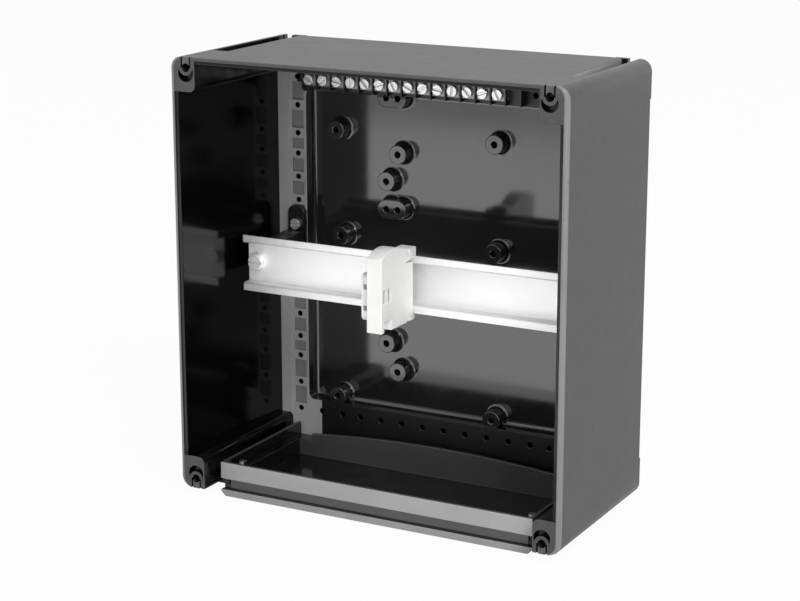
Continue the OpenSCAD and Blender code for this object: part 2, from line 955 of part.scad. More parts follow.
module earth_carrier() {
    zs = [earth_z - carrier_h / 2, earth_z + carrier_h / 2];
    cell_front = carrier_front - carrier_cell;
    color("black")
        difference() {
            union() {
                block([carrier_left, carrier_right], [carrier_front, ledge_depth], zs);
                for (i = [0:earth_cells])
                    block(
                        [carrier_left + i * earth_pitch, carrier_left + i * earth_pitch + carrier_wall],
                        [cell_front, ledge_depth],
                        zs
                    );
                for (x = [-4 * hole_pitch - hole_step, 0, peg_right])
                    rod(x, earth_z, [carrier_front, ledge_depth + peg_len], peg_d);
            }
            block(
                [carrier_left - cut, earth_x + (EARTH_CLAMPS - 0.5) * earth_pitch + carrier_wall],
                [earth_bar_front, carrier_front],
                [earth_z - earth_bar_h / 2, earth_z + earth_bar_h / 2]
            );
            for (i = [0:EARTH_CLAMPS - 1])
                rod(
                    earth_x + i * earth_pitch, earth_z,
                    [carrier_front - cut, ledge_depth + cut], earth_hole + screw_clear
                );
        }
}

module earth_bar() {
    color("darkkhaki")
        difference() {
            block(
                [carrier_left, earth_x + (EARTH_CLAMPS - 0.5) * earth_pitch],
                [earth_bar_front, carrier_front],
                [earth_z - earth_bar_h / 2, earth_z + earth_bar_h / 2]
            );
            for (i = [0:EARTH_CLAMPS - 1])
                rod(earth_x + i * earth_pitch, earth_z, [earth_bar_front - cut, carrier_front + cut], earth_hole);
        }
}

// Square saddle under the head of an earth screw
module earth_saddle(i) {
    x = earth_x + i * earth_pitch;
    color("silver")
        difference() {
            block(
                [x - saddle_w / 2, x + saddle_w / 2],
                [saddle_front, earth_bar_front],
                [earth_z - saddle_w / 2, earth_z + saddle_w / 2]
            );
            rod(x, earth_z, [saddle_front - cut, earth_bar_front + cut], earth_hole);
        }
}

module earth_screw(i) {
    color("silver")
        slotted_screw(
            earth_x + i * earth_pitch, earth_z, earth_head_front,
            earth_head_d, earth_head_h, earth_screw_d, earth_screw_len
        );
}

// Hook over one lip of the rail, drawn above the middle of the rail
module rail_hook(front, reach_up) {
    translate([front, mid_z + lip_edge])
        square([hook_rear - front, reach_up - lip_edge]);
    translate([hook_front, mid_z + lip_edge - hook_reach])
        square([hook_t, hook_reach + cut]);
}

// Both hooks, with the foot between them
module rail_hooks(front, reach_up, reach_down) {
    rail_hook(front, reach_up);
    translate([0, 2 * mid_z])
        mirror([0, 1])
            rail_hook(front, reach_down);
    translate([front, mid_z - reach_down])
        square([rail_depth - hook_clear - front, reach_up + reach_down]);
}

// Side outline of the terminal: a block with round shoulders on a wider foot
module terminal_outline() {
    reach = lip_edge + hook_t;
    round_rect(
        [terminal_front, foot_front + 2 * shoulder_r],
        [terminal_z - terminal_h / 2, terminal_z + terminal_h / 2],
        shoulder_r
    );
    rail_hooks(foot_front, reach, reach);
}

// Room for the screws, cages, wires and current bar, open towards the cover
module terminal_room() {
    xs = [pocket_x - cut, pocket_x + pocket_w];
    cage_half = cage_h / 2 + cage_clear;
    wire = [clamp_x - current_bar_w / 2, clamp_x + current_bar_w / 2];
    for (z = clamp_zs) {
        rod(clamp_x, z, [terminal_front - cut, pocket_front + cut], well_d);
        block(
            [pocket_x - cut, clamp_x],
            [terminal_front - cut, pocket_front + cut],
            [z - well_d / 2, z + well_d / 2]
        );
        block(xs, [pocket_front, pocket_rear], [z - cage_half, z + cage_half]);
    }
    block(
        [pocket_x - cut, clamp_x + current_bar_w / 2],
        [bar_front, bar_rear],
        [terminal_z - current_bar_half, terminal_z + current_bar_half]
    );
    block(
        [pocket_x - cut, wire[1]],
        [bar_rear, bar_rear + cage_room],
        [terminal_z - terminal_h / 2 - cut, clamp_zs[0]]
    );
    block(
        [pocket_x - cut, wire[1]],
        [bar_rear, bar_rear + cage_room],
        [clamp_zs[1], terminal_z + terminal_h / 2 + cut]
    );
}

module terminal_housing() {
    color("whitesmoke")
        difference() {
            from_side([pocket_x, terminal_x + terminal_w])
                terminal_outline();
            terminal_room();
        }
}

module terminal_cover() {
    color("whitesmoke")
        from_side([terminal_x, pocket_x])
            terminal_outline();
}

module current_bar() {
    color("goldenrod")
        block(
            [clamp_x - current_bar_w / 2, clamp_x + current_bar_w / 2],
            [bar_front, bar_rear],
            [terminal_z - current_bar_half, terminal_z + current_bar_half]
        );
}

// Cage that lifts a wire against the current bar
module clamp_cage(z) {
    window_x = cage_w / 2 - cage_wall;
    color("silver")
        difference() {
            block(
                [clamp_x - cage_w / 2, clamp_x + cage_w / 2],
                [cage_front, cage_rear],
                [z - cage_h / 2, z + cage_h / 2]
            );
            block(
                [clamp_x - window_x, clamp_x + window_x],
                [cage_inside, cage_rear - cage_floor],
                [z - cage_h, z + cage_h]
            );
            rod(clamp_x, z, [cage_front - cut, cage_inside + cut], clamp_screw_d + thread_clear);
        }
}

module clamp_cage_upper() {
    clamp_cage(clamp_zs[1]);
}

module clamp_cage_lower() {
    clamp_cage(clamp_zs[0]);
}

module clamp_screw(z) {
    color("silver")
        slotted_screw(
            clamp_x, z, clamp_head_front, clamp_head_d, clamp_head_h,
            clamp_screw_d, bar_front - clamp_head_front - clamp_head_h - thread_clear
        );
}

module clamp_screw_upper() {
    clamp_screw(clamp_zs[1]);
}

module clamp_screw_lower() {
    clamp_screw(clamp_zs[0]);
}

// Side outline of the end bracket: a round hump, a notch behind its front plate and two hooks
module end_bracket_outline() {
    low = mid_z - end_below;
    difference() {
        union() {
            intersection() {
                translate([rail_depth - hump_ahead, mid_z])
                    circle(hump_r);
                translate([end_front, low])
                    square([rail_depth - hook_clear - end_front, end_below + hump_r]);
            }
            rail_hooks(end_foot_front, lip_edge + 2 * hook_t, end_below);
        }
        translate([end_front + end_plate_t, low - cut])
            square([end_notch_w, end_notch_h + cut]);
        translate([hook_rear, low])
            mirror([1, 0])
                spandrel(end_corner_r);
        polygon([
            [rail_depth - spring_l, spring_z],
            [rail_depth, spring_z + spring_h / 2],
            [rail_depth, spring_z - spring_h / 2],
        ]);
    }
}

module end_bracket() {
    xs = [end_x, end_x + end_w];
    first = end_front + window_in;
    color("whitesmoke")
        difference() {
            from_side(xs)
                end_bracket_outline();
            for (depth = [first, first + window_w + window_bar])
                block(
                    [xs[1] - window_depth, xs[1] + cut],
                    [depth, depth + window_w],
                    [mid_z - window_h / 2, mid_z + window_h / 2]
                );
        }
}

enclosure();
flange_tray();
flange_gasket();
din_rail();
rail_bracket_left();
rail_bracket_right();
bracket_screws();
rail_screws();
rail_washers();
earth_carrier();
earth_bar();
for (i = [1:EARTH_CLAMPS]) {
    earth_saddle(i - 1);
    earth_screw(i - 1);
}
terminal_housing();
terminal_cover();
current_bar();
clamp_cage_upper();
clamp_cage_lower();
clamp_screw_upper();
clamp_screw_lower();
end_bracket();
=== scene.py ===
"""Looks of the terminal box: softened pieces, finishes, stage and camera."""

import json
import logging
import math
from dataclasses import dataclass
from enum import Enum
from typing import Any, Callable, ClassVar

import bmesh
import bpy
from mathutils import Matrix, Vector

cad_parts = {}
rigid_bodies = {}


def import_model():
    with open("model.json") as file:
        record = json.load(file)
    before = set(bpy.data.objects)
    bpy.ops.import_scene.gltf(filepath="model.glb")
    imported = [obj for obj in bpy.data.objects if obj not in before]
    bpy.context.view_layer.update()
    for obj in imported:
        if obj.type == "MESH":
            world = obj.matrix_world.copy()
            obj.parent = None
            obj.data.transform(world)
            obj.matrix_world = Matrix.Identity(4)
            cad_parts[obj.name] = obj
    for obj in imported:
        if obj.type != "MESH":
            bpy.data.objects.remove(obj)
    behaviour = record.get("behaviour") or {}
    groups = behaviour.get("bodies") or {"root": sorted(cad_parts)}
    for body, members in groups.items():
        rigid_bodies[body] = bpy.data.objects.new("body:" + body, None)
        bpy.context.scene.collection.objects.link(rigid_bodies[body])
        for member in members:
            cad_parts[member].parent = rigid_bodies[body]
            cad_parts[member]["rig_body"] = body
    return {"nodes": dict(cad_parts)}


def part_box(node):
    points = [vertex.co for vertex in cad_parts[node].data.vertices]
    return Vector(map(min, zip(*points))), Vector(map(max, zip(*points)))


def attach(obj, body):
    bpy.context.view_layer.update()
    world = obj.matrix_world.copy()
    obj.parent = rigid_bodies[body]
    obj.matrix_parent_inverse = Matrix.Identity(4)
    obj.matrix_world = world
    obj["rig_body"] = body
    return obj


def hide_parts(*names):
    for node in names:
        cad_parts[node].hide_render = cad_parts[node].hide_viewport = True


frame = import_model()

LOG = logging.getLogger("terminal_box")
MM = 0.001
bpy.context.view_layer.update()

Colour = tuple[float, float, float]
Place = tuple[float, float, float]
Test = Callable[[Vector, Vector], bool]
Socket = bpy.types.NodeSocket
Sockets = bpy.types.NodeOutputs
Value = Socket | float
WHITE = (1.0, 1.0, 1.0, 1.0)


def grey(level: float) -> Colour:
    """Gives a neutral colour."""
    return level, level, level


class Slot(Enum):
    """Material slots of the record."""

    BOX = "box_plastic"
    GASKET = "gasket_rubber"
    RAIL = "rail_steel"
    PLATED = "plated_steel"
    BRASS = "bar_brass"
    CARRIER = "carrier_plastic"
    TERMINAL = "terminal_plastic"


class Band(Enum):
    """Bands of the flange's front, from below."""

    LIP = 1
    NECK = 2
    WALL = 3


class Graph:
    """A node tree with short calls to add nodes and link them.

    A mix node has sockets for several kinds of values under the same names, so those for colours go by number.
    """

    MIX_SHARE = 0
    MIX_FIRST = 6
    MIX_SECOND = 7
    MIX_RESULT = 2

    def __init__(self, tree: bpy.types.NodeTree) -> None:
        """Takes over a node tree and empties it."""
        self.tree = tree
        tree.nodes.clear()

    def add(self, kind: str, inputs: dict[str | int, Any] | None = None, **settings: Any) -> bpy.types.Node:
        """Adds one node.

        Args:
            kind: Type name of the node.
            inputs: Values or sockets for its inputs, by name or number.
            **settings: Properties of the node.

        Returns:
            The new node.
        """
        node = self.tree.nodes.new(kind)
        for name, value in settings.items():
            setattr(node, name, value)
        for name, value in (inputs or {}).items():
            self.feed(node.inputs[name], value)
        return node

    def feed(self, socket: Socket, value: Any) -> None:
        """Links a socket to another, or sets its value."""
        if isinstance(value, Socket):
            self.tree.links.new(value, socket)
        else:
            socket.default_value = value

    def math(self, operation: str, first: Value, second: Value = 0.0, clamp: bool = False) -> Socket:
        """Adds one sum.

        Args:
            operation: Name of the operation.
            first: First value or socket.
            second: Second value or socket.
            clamp: Whether the result stays between 0 and 1.

        Returns:
            The result's socket.
        """
        node = self.add("ShaderNodeMath", operation=operation, use_clamp=clamp)
        self.feed(node.inputs[0], first)
        self.feed(node.inputs[1], second)
        return node.outputs[0]

    def blend(self, first: Value, second: Value, share: float) -> Socket:
        """Adds two values by their shares.

        Args:
            first: First value or socket.
            second: Second value or socket.
            share: Share of the first value.

        Returns:
            The result's socket.
        """
        return self.math("ADD", self.math("MULTIPLY", first, share), self.math("MULTIPLY", second, 1.0 - share))

    def ramp(self, value: Socket, low: Value, high: Value, out_low: float = 0.0, out_high: float = 1.0) -> Socket:
        """Maps a value from one range to another and keeps it there.

        Args:
            value: Socket to map.
            low: Start of the range, a number or a socket.
            high: End of the range, a number or a socket.
            out_low: Result at the start.
            out_high: Result at the end.

        Returns:
            The result's socket.
        """
        node = self.add("ShaderNodeMapRange", {"Value": value})
        for name, number in (("From Min", low), ("From Max", high), ("To Min", out_low), ("To Max", out_high)):
            self.feed(node.inputs[name], number)
        return node.outputs[0]

    def mix(self, share: Value, first: Socket | Colour, second: Socket | Colour) -> Socket:
        """Mixes two colours.

        Args:
            share: Share of the second colour.
            first: First colour or socket.
            second: Second colour or socket.

        Returns:
            The mixed colour's socket.
        """
        node = self.add("ShaderNodeMix", data_type="RGBA")
        self.feed(node.inputs[self.MIX_SHARE], share)
        for number, colour in ((self.MIX_FIRST, first), (self.MIX_SECOND, second)):
            self.feed(node.inputs[number], colour if isinstance(colour, Socket) else (*colour, 1.0))
        return node.outputs[self.MIX_RESULT]

    def noise(self, place: Socket, scale: Value, detail: float = 2.0, roughness: float = 0.5) -> Socket:
        """Adds a noise texture.

        Args:
            place: Socket of the coordinates.
            scale: Waves in a metre, a number or a socket.
            detail: Number of finer layers.
            roughness: Strength of the finer layers.

        Returns:
            The noise's socket.
        """
        sizes = {"Vector": place, "Scale": scale, "Detail": detail, "Roughness": roughness}
        return self.add("ShaderNodeTexNoise", sizes).outputs[0]


class Group:
    """A shader node group that is built once and placed in several materials."""

    name: str = "group"
    inputs: tuple[tuple[str, float], ...] = ()
    outputs: tuple[str, ...] = ()

    def tree(self) -> bpy.types.NodeTree:
        """Gives the group's tree, and builds it the first time.

        Returns:
            The node tree.
        """
        known = bpy.data.node_groups.get(self.name)
        if known is not None:
            return known
        tree = bpy.data.node_groups.new(self.name, "ShaderNodeTree")
        for name, value in self.inputs:
            socket = tree.interface.new_socket(name, in_out="INPUT", socket_type="NodeSocketFloat")
            socket.default_value = value
        for name in self.outputs:
            tree.interface.new_socket(name, in_out="OUTPUT", socket_type="NodeSocketFloat")
        graph = Graph(tree)
        given = graph.add("NodeGroupInput")
        results = self.build(graph, given.outputs)
        graph.add("NodeGroupOutput", results)
        return tree

    def build(self, graph: Graph, given: Sockets) -> dict[str, Socket]:
        """Fills the group.

        Args:
            graph: The group's graph.
            given: Sockets of the group's inputs.

        Returns:
            The sockets of its outputs, by name.
        """
        raise NotImplementedError

    def place(self, graph: Graph) -> Sockets:
        """Puts the group into a material.

        Args:
            graph: The material's graph.

        Returns:
            The sockets of its outputs.
        """
        return graph.add("ShaderNodeGroup", node_tree=self.tree()).outputs


class MouldedSkin(Group):
    """Skin of a moulding: fine grain, faint flow marks and uneven gloss."""

    name = "moulded skin"
    inputs = (("Grain Scale", 1800.0), ("Flow Scale", 14.0))
    outputs = ("Height", "Tone", "Gloss")
    SMEAR_SCALE = 160.0
    FLOW_SHARE = 0.6

    def build(self, graph: Graph, given: Sockets) -> dict[str, Socket]:
        """Fills the group with three layers of noise; see Group.build."""
        place = graph.add("ShaderNodeTexCoord").outputs["Object"]
        grain = graph.noise(place, given["Grain Scale"], detail=3.0, roughness=0.6)
        flow = graph.noise(place, given["Flow Scale"], detail=3.0, roughness=0.55)
        smear = graph.noise(place, self.SMEAR_SCALE)
        return {"Height": grain, "Tone": flow, "Gloss": graph.blend(flow, smear, self.FLOW_SHARE)}


class WornAndHighlitEdges(Group):
    """Mask of the pale edges: rubbed by handling, and on the dark polished plastics also painted highlights."""

    name = "worn edges and painted highlights"
    inputs = (("Start", 0.515), ("End", 0.6))
    outputs = ("Mask",)
    PATCH_SCALE = 220.0
    PATCHES = (0.35, 0.65)
    LEAST = 0.35

    def build(self, graph: Graph, given: Sockets) -> dict[str, Socket]:
        """Fills the group from how pointed the surface is; see Group.build."""
        pointed = graph.add("ShaderNodeNewGeometry").outputs["Pointiness"]
        place = graph.add("ShaderNodeTexCoord").outputs["Object"]
        patches = graph.ramp(graph.noise(place, self.PATCH_SCALE, detail=3.0), *self.PATCHES, self.LEAST)
        edge = graph.ramp(pointed, given["Start"], given["End"])
        return {"Mask": graph.math("MULTIPLY", edge, patches, clamp=True)}


class SettledDust(Group):
    """Mask of the thin dust that lies on faces that look up."""

    name = "settled dust"
    inputs = (("Patch Scale", 60.0),)
    outputs = ("Mask",)
    TILT = (0.55, 0.98)
    PATCHES = (0.4, 0.75)

    def build(self, graph: Graph, given: Sockets) -> dict[str, Socket]:
        """Fills the group from the surface's tilt and a noise; see Group.build."""
        normal = graph.add("ShaderNodeNewGeometry").outputs["Normal"]
        up = graph.add("ShaderNodeSeparateXYZ", {"Vector": normal}).outputs["Z"]
        place = graph.add("ShaderNodeTexCoord").outputs["Object"]
        patches = graph.ramp(graph.noise(place, given["Patch Scale"], detail=5.0, roughness=0.62), *self.PATCHES)
        return {"Mask": graph.math("MULTIPLY", graph.ramp(up, *self.TILT), patches, clamp=True)}


class DrawnMetal(Group):
    """Fine lines along X and small scuffs of rolled or turned metal."""

    name = "drawn metal"
    inputs = (("Line Scale", 2600.0), ("Scuff Scale", 300.0))
    outputs = ("Height", "Tone", "Gloss")
    STRETCH = (0.015, 1.0, 1.0)
    LINE_SHARE = 0.5

    def build(self, graph: Graph, given: Sockets) -> dict[str, Socket]:
        """Fills the group with stretched noise; see Group.build."""
        place = graph.add("ShaderNodeTexCoord").outputs["Object"]
        stretched = graph.add("ShaderNodeMapping", {"Vector": place, "Scale": self.STRETCH}).outputs[0]
        lines = graph.noise(stretched, given["Line Scale"], detail=4.0, roughness=0.65)
        scuffs = graph.noise(place, given["Scuff Scale"], detail=4.0, roughness=0.6)
        return {"Height": lines, "Tone": scuffs, "Gloss": graph.blend(lines, scuffs, self.LINE_SHARE)}


MOULDED_SKIN = MouldedSkin()
WORN_AND_HIGHLIT_EDGES = WornAndHighlitEdges()
SETTLED_DUST = SettledDust()
DRAWN_METAL = DrawnMetal()


@dataclass(frozen=True)
class Finish:
    """Common part of all finishes: a named material round one Principled shader.

    Attributes:
        name: Name of the material.
        colour: Its colour.
        roughness: Its mean roughness.
        gloss_spread: How far the roughness wanders.
        GLOSS: Range of the gloss noise that is used.
    """

    name: str
    colour: Colour
    roughness: float
    gloss_spread: float = 0.08
    GLOSS: ClassVar[tuple[float, float]] = (0.3, 0.7)

    def material(self) -> bpy.types.Material:
        """Gives the finish's material, and builds it the first time.

        Returns:
            The material.
        """
        known = bpy.data.materials.get(self.name)
        if known is not None:
            return known
        material = bpy.data.materials.new(self.name)
        material.use_nodes = True
        graph = Graph(material.node_tree)
        shader = graph.add("ShaderNodeBsdfPrincipled")
        self.shade(graph, shader)
        graph.add("ShaderNodeOutputMaterial", {"Surface": shader.outputs[0]})
        return material

    def shade(self, graph: Graph, shader: bpy.types.Node) -> None:
        """Feeds the shader's inputs.

        Args:
            graph: The material's graph.
            shader: Its Principled shader.
        """
        raise NotImplementedError

    def scaled(self, factor: float) -> Colour:
        """Gives the colour made lighter or darker."""
        red, green, blue = (min(1.0, factor * part) for part in self.colour)
        return red, green, blue

    def rough(self, graph: Graph, gloss: Socket) -> Socket:
        """Gives the roughness that follows a gloss noise."""
        half = self.gloss_spread / 2
        return graph.ramp(gloss, *self.GLOSS, self.roughness - half, self.roughness + half)

    @staticmethod
    def bump(graph: Graph, shader: bpy.types.Node, height: Socket, depth: float, strength: float) -> None:
        """Feeds the shader's normal from a height.

        Args:
            graph: The material's graph.
            shader: Its Principled shader.
            height: Socket of the height.
            depth: Depth of the relief in metres.
            strength: Share of the relief that shows.
        """
        node = graph.add("ShaderNodeBump", {"Height": height, "Distance": depth, "Strength": strength})
        graph.feed(shader.inputs["Normal"], node.outputs[0])


@dataclass(frozen=True)
class MouldedPlastic(Finish):
    """Moulded plastic with grain, flow marks, pale edges and a little dust.

    Attributes:
        grain: Share of the grain's relief that shows.
        edge_lift: How pale the edges become: wear, and on the dark polished plastics partly painted highlights.
        dust: How much the dust covers.
        shine: Level of the mirror light.
        dust_colour: Colour of the dust.
        TONES: Darkest and lightest tone of the flow marks, as factors of the colour.
        FLOW: Range of the flow noise that is used.
        PALE: Brightness that a pale edge tends to.
        DUST_ROUGHNESS: Roughness that full dust adds.
        GRAIN_DEPTH: Depth of the grain in metres.
    """

    grain: float = 0.2
    edge_lift: float = 0.25
    dust: float = 0.2
    shine: float = 0.5
    dust_colour: Colour = (0.35, 0.35, 0.34)
    TONES: ClassVar[tuple[float, float]] = (0.88, 1.12)
    FLOW: ClassVar[tuple[float, float]] = (0.3, 0.7)
    PALE: ClassVar[float] = 0.8
    DUST_ROUGHNESS: ClassVar[float] = 0.5
    GRAIN_DEPTH: ClassVar[float] = 0.05 * MM

    def shade(self, graph: Graph, shader: bpy.types.Node) -> None:
        """Feeds colour, roughness and normal; see Finish.shade."""
        skin = MOULDED_SKIN.place(graph)
        edges = WORN_AND_HIGHLIT_EDGES.place(graph)
        dust = SETTLED_DUST.place(graph)
        dark, light = (self.scaled(tone) for tone in self.TONES)
        pale = tuple(min(1.0, part + self.edge_lift * (self.PALE - part)) for part in self.colour)
        tone = graph.mix(graph.ramp(skin["Tone"], *self.FLOW), dark, light)
        # Pale edges: wear, and on the dark polished plastics partly painted highlights.
        worn_and_highlit = graph.mix(graph.math("MULTIPLY", edges["Mask"], self.edge_lift), tone, pale)
        dusty = graph.math("MULTIPLY", dust["Mask"], self.dust)
        graph.feed(shader.inputs["Base Color"], graph.mix(dusty, worn_and_highlit, self.dust_colour))
        dulled = graph.math("MULTIPLY", dusty, self.DUST_ROUGHNESS)
        rough = graph.math("ADD", self.rough(graph, skin["Gloss"]), dulled, clamp=True)
        graph.feed(shader.inputs["Roughness"], rough)
        shader.inputs["Specular IOR Level"].default_value = self.shine
        self.bump(graph, shader, skin["Height"], self.GRAIN_DEPTH, self.grain)


@dataclass(frozen=True)
class PlatedMetal(Finish):
    """Plated or drawn metal with fine lines and scuffs.

    Attributes:
        gloss_spread: How far the roughness wanders.
        lines: Share of the lines' relief that shows.
        stain: How much darker the scuffs are.
        EDGE: Factor of the colour at worn edges.
        SCUFFS: Range of the scuff noise that is used.
        LINE_DEPTH: Depth of the lines in metres.
    """

    gloss_spread: float = 0.12
    lines: float = 0.25
    stain: float = 0.12
    EDGE: ClassVar[float] = 1.06
    SCUFFS: ClassVar[tuple[float, float]] = (0.32, 0.68)
    LINE_DEPTH: ClassVar[float] = 0.02 * MM

    def shade(self, graph: Graph, shader: bpy.types.Node) -> None:
        """Feeds colour, roughness and normal; see Finish.shade."""
        metal = DRAWN_METAL.place(graph)
        edges = WORN_AND_HIGHLIT_EDGES.place(graph)
        shader.inputs["Metallic"].default_value = 1.0
        tone = graph.mix(graph.ramp(metal["Tone"], *self.SCUFFS), self.scaled(1.0 - self.stain), self.colour)
        graph.feed(shader.inputs["Base Color"], graph.mix(edges["Mask"], tone, self.scaled(self.EDGE)))
        graph.feed(shader.inputs["Roughness"], self.rough(graph, metal["Gloss"]))
        self.bump(graph, shader, metal["Height"], self.LINE_DEPTH, self.lines)


# Inside walls: polished, and far darker than the outside's grey of the same moulding, which is painted shade
# inside the box.
WALL_SHADE_PLASTIC = MouldedPlastic("polished wall plastic with painted shade", grey(0.0015), 0.13, grain=0.06, dust=0.0, shine=0.3)
PANEL_PLASTIC = MouldedPlastic("polished panel plastic", grey(0.018), 0.09, grain=0.05, dust=0.0, shine=1.0)
BOX_OUTSIDE = MouldedPlastic("textured box plastic", grey(0.042), 0.46, grain=0.25, dust=0.06)
# Rim rounding: paler than the box, which is a painted highlight along the front rim.
RIM_HIGHLIGHT_PLASTIC = MouldedPlastic("rim plastic with painted highlight", grey(0.19), 0.3, grain=0.1, dust=0.0)
# Ledges: real matt grain, and a far lighter colour than the rest of the moulding, which is painted light.
LEDGE_LIT_PLASTIC = MouldedPlastic("matt ledge plastic with painted light", grey(0.4), 0.55, grain=0.5, dust=0.0)
RECESS_PLASTIC = MouldedPlastic("shaded recess plastic", grey(0.22), 0.55, grain=0.5, dust=0.0)
# Bottom ledge and the top ledge's middle: near black, which is painted shade.
LEDGE_SHADE_PLASTIC = MouldedPlastic(
    "ledge plastic with painted shade", grey(0.008), 0.34, grain=0.3, dust=0.0, edge_lift=0.02, shine=0.4)
# Flange front: painted light on the upper band and the lip, painted shade on the recessed neck under its overhang.
FLANGE_LIT_PLASTIC = MouldedPlastic("matt flange plastic with painted light", grey(0.34), 0.5, grain=0.3, dust=0.0)
NECK_SHADE_PLASTIC = MouldedPlastic("flange plastic with painted shade", grey(0.14), 0.5, grain=0.3, dust=0.0)
LIP_LIT_PLASTIC = MouldedPlastic("lip plastic with painted light", grey(0.27), 0.5, grain=0.3, dust=0.0)
TRAY_PLASTIC = MouldedPlastic("polished tray plastic", grey(0.003), 0.1, grain=0.08, dust=0.04, shine=0.6)
# Tray: painted light on the rear wall's front and a painted highlight on the wall tops.
TRAY_LIT_PLASTIC = MouldedPlastic("satin tray plastic with painted light", grey(0.05), 0.4, grain=0.3, dust=0.0)
BRACKET_PLASTIC = MouldedPlastic("bracket plastic", grey(0.005), 0.3, dust=0.08)
CARRIER_PLASTIC = MouldedPlastic("carrier plastic", grey(0.006), 0.4, dust=0.03)
WINDOW_PLASTIC = MouldedPlastic("shaded window plastic", grey(0.3), 0.5, dust=0.0)
TERMINAL_PLASTIC = MouldedPlastic("terminal plastic", (0.88, 0.88, 0.87), 0.42, dust=0.02, edge_lift=0.1)
GASKET_RUBBER = MouldedPlastic("gasket rubber", grey(0.014), 0.65, grain=0.4, dust=0.1)
RAIL_STEEL = PlatedMetal("rail steel", grey(0.8), 0.62, stain=0.04)
PLATED_STEEL = PlatedMetal("plated steel", grey(0.78), 0.24)
HEAD_STEEL = PlatedMetal("head steel", grey(0.86), 0.45)
# Saddles: darker than the plated heads, which paints the shade round the screw heads.
SADDLE_SHADE_STEEL = PlatedMetal("saddle steel with painted shade", grey(0.22), 0.34)
BAR_BRASS = PlatedMetal("bar brass", (0.75, 0.62, 0.36), 0.28)


@dataclass(frozen=True)
class WideEdges:
    """Edges of a piece that have a larger rounding than the others.

    Attributes:
        width: Width of the rounding in metres.
        segments: Faces across a rounded edge.
        finish: Finish of the rounding.
        share: Gives from an edge's middle its share of the width.
    """

    width: float
    segments: int
    finish: Finish
    share: Callable[[Vector], float]


